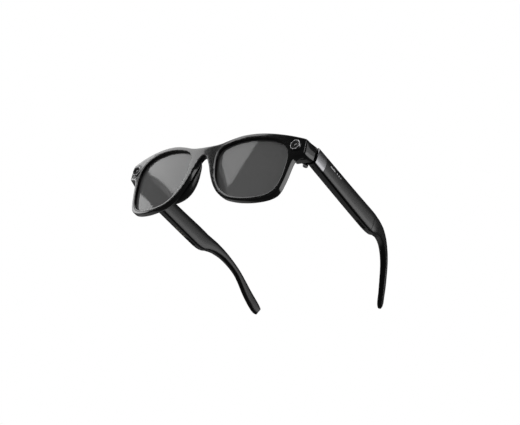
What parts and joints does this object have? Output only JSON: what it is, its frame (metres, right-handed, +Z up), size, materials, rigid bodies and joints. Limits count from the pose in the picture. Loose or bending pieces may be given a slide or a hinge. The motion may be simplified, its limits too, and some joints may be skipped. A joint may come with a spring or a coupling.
{
  "type": "smart glasses",
  "caption": "Plastic smart glasses with a wrap-curved front, tinted lenses, round corner eyes and thick folding temples that hold the electronics.",
  "frame": {"origin": "on the table under the middle of the open glasses, which rest on the lower rims and the two temple tips", "axes": "+Z up from the table, the front faces -Y, +X is the wearer's left, +Y runs back along the temples"},
  "size_m": [0.1502, 0.1576, 0.0475],
  "materials": {
    "frame_plastic": "polished black injection-moulded plastic",
    "pad_plastic": "polished black moulded plastic",
    "tinted_lens": "neutral grey tinted lens, polished",
    "temple_plastic": "polished black moulded plastic, slightly softer than the front",
    "polished_metal": "polished steel",
    "ring_metal": "fine-turned steel",
    "eye_window": "dark coated window",
    "dark_module": "matt black module housing",
    "reflector": "white moulded light reflector",
    "circuit_board": "green solder mask",
    "hinge_steel": "machined stainless steel",
    "screw_steel": "small plated steel screws",
    "speaker_metal": "dark coated speaker can",
    "mesh_metal": "black perforated steel",
    "wire_steel": "spring steel wire",
    "battery_foil": "foil pouch",
    "contact_gold": "gold-plated contacts",
    "magnet_nickel": "nickel-plated magnet",
    "button_plastic": "fine-textured black plastic"
  },
  "bodies": {
    "front": {"front_frame": "frame_plastic", "nose_pad_left": "pad_plastic", "nose_pad_right": "pad_plastic", "lens_left": "tinted_lens", "lens_right": "tinted_lens", "camera_ring": "ring_metal", "camera_window": "eye_window", "camera_barrel": "dark_module", "camera_board": "circuit_board", "lamp_ring": "ring_metal", "lamp_window": "eye_window", "lamp_reflector": "reflector", "lamp_board": "circuit_board", "corner_cover_left": "frame_plastic", "corner_cover_right": "frame_plastic", "hinge_front_leaf_left": "hinge_steel", "hinge_front_leaf_right": "hinge_steel", "hinge_pin_left": "hinge_steel", "hinge_pin_right": "hinge_steel", "corner_screws_left": "screw_steel", "corner_screws_right": "screw_steel"},
    "left_temple": {"temple_housing_left": "temple_plastic", "temple_cover_left": "temple_plastic", "hinge_collar_left": "polished_metal", "hinge_temple_leaf_left": "hinge_steel", "leaf_screws_left": "screw_steel", "speaker_left": "speaker_metal", "speaker_mesh_left": "mesh_metal", "microphone_left": "speaker_metal", "core_wire_left": "wire_steel", "main_board": "circuit_board", "main_chips": "dark_module", "touch_sensor": "contact_gold", "power_switch": "speaker_metal"},
    "right_temple": {"temple_housing_right": "temple_plastic", "temple_cover_right": "temple_plastic", "hinge_collar_right": "polished_metal", "hinge_temple_leaf_right": "hinge_steel", "leaf_screws_right": "screw_steel", "speaker_right": "speaker_metal", "speaker_mesh_right": "mesh_metal", "microphone_right": "speaker_metal", "core_wire_right": "wire_steel", "battery": "battery_foil", "charge_block": "dark_module", "charge_contacts": "contact_gold", "charge_board": "circuit_board", "charge_magnet": "magnet_nickel", "button_switch": "speaker_metal"},
    "slider": {"power_slider": "button_plastic"},
    "button": {"capture_button": "button_plastic"}
  },
  "joints": [
    {"name": "left_temple_fold", "type": "hinge", "parent": "front", "child": "left_temple", "pos_m": [0.0655, -0.05727, 0.03639], "axis": [0, 0.062, 0.9981], "range_deg": [0, 86]},
    {"name": "right_temple_fold", "type": "hinge", "parent": "front", "child": "right_temple", "pos_m": [-0.0655, -0.05727, 0.03639], "axis": [0, -0.062, -0.9981], "range_deg": [0, 70]},
    {"name": "power_slide", "type": "slide", "parent": "left_temple", "child": "slider", "axis": [0, 0.9981, -0.062], "range_m": [0, 0.002]},
    {"name": "capture_press", "type": "slide", "parent": "right_temple", "child": "button", "axis": [0, -0.062, -0.9981], "range_m": [0, 0.0004], "stiffness_N_per_m": 5000}
  ]
}
